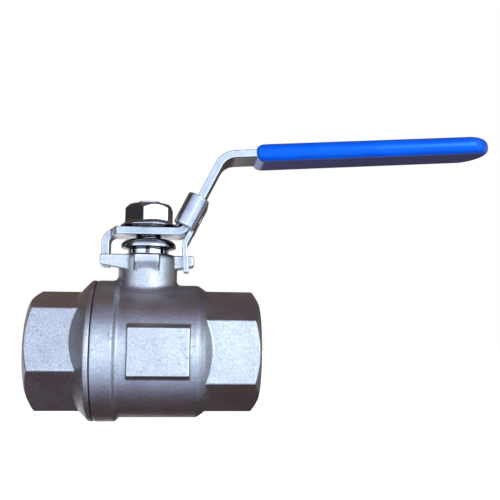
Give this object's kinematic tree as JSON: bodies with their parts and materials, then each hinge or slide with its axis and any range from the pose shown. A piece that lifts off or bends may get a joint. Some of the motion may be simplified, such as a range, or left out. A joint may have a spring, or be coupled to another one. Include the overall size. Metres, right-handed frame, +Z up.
{
  "type": "ball valve",
  "caption": "Two-piece stainless ball valve with hexagonal internally threaded pipe ends and a blue-sleeved strap lever that carries a sliding lock plate.",
  "frame": {"origin": "centre of the inlet thread's mouth, on the end cap's end face", "axes": "+X along the pipe from the inlet to the outlet, and the way the lever points when open; +Z up along the stem, away from the pipe; +Y completes a right-handed frame"},
  "size_m": [0.1813, 0.0532, 0.1138],
  "materials": {
    "cast_stainless": "blasted investment casting",
    "polished_stainless": "polished",
    "turned_stainless": "turned",
    "strap_stainless": "rolled sheet, satin",
    "ptfe": "smooth",
    "fluoro_rubber": "smooth",
    "blue_vinyl": "dipped vinyl, glossy"
  },
  "bodies": {
    "root": {"valve_body": "cast_stainless", "end_cap": "cast_stainless", "inlet_seat": "ptfe", "outlet_seat": "ptfe", "body_gasket": "ptfe", "thrust_washer": "ptfe", "packing_base_ring": "ptfe", "v_ring_lower": "ptfe", "v_ring_middle": "ptfe", "v_ring_upper": "ptfe", "packing_top_ring": "ptfe", "gland_follower": "turned_stainless", "gland_nut": "turned_stainless", "dished_washer": "polished_stainless"},
    "lever_assembly": {"ball": "polished_stainless", "stem": "turned_stainless", "stem_o_ring": "fluoro_rubber", "lever": "strap_stainless", "lever_sleeve": "blue_vinyl", "handle_nut": "polished_stainless"},
    "lock": {"lock_slide": "strap_stainless"}
  },
  "joints": [
    {"name": "lever_turn", "type": "hinge", "parent": "root", "child": "lever_assembly", "pos_m": [0.043, 0, 0.045], "axis": [0, 0, 1], "range_deg": [-90, 0]},
    {"name": "lock_lift", "type": "slide", "parent": "lever_assembly", "child": "lock", "axis": [0.4462, 0, 0.8949], "range_m": [0, 0.014]}
  ]
}
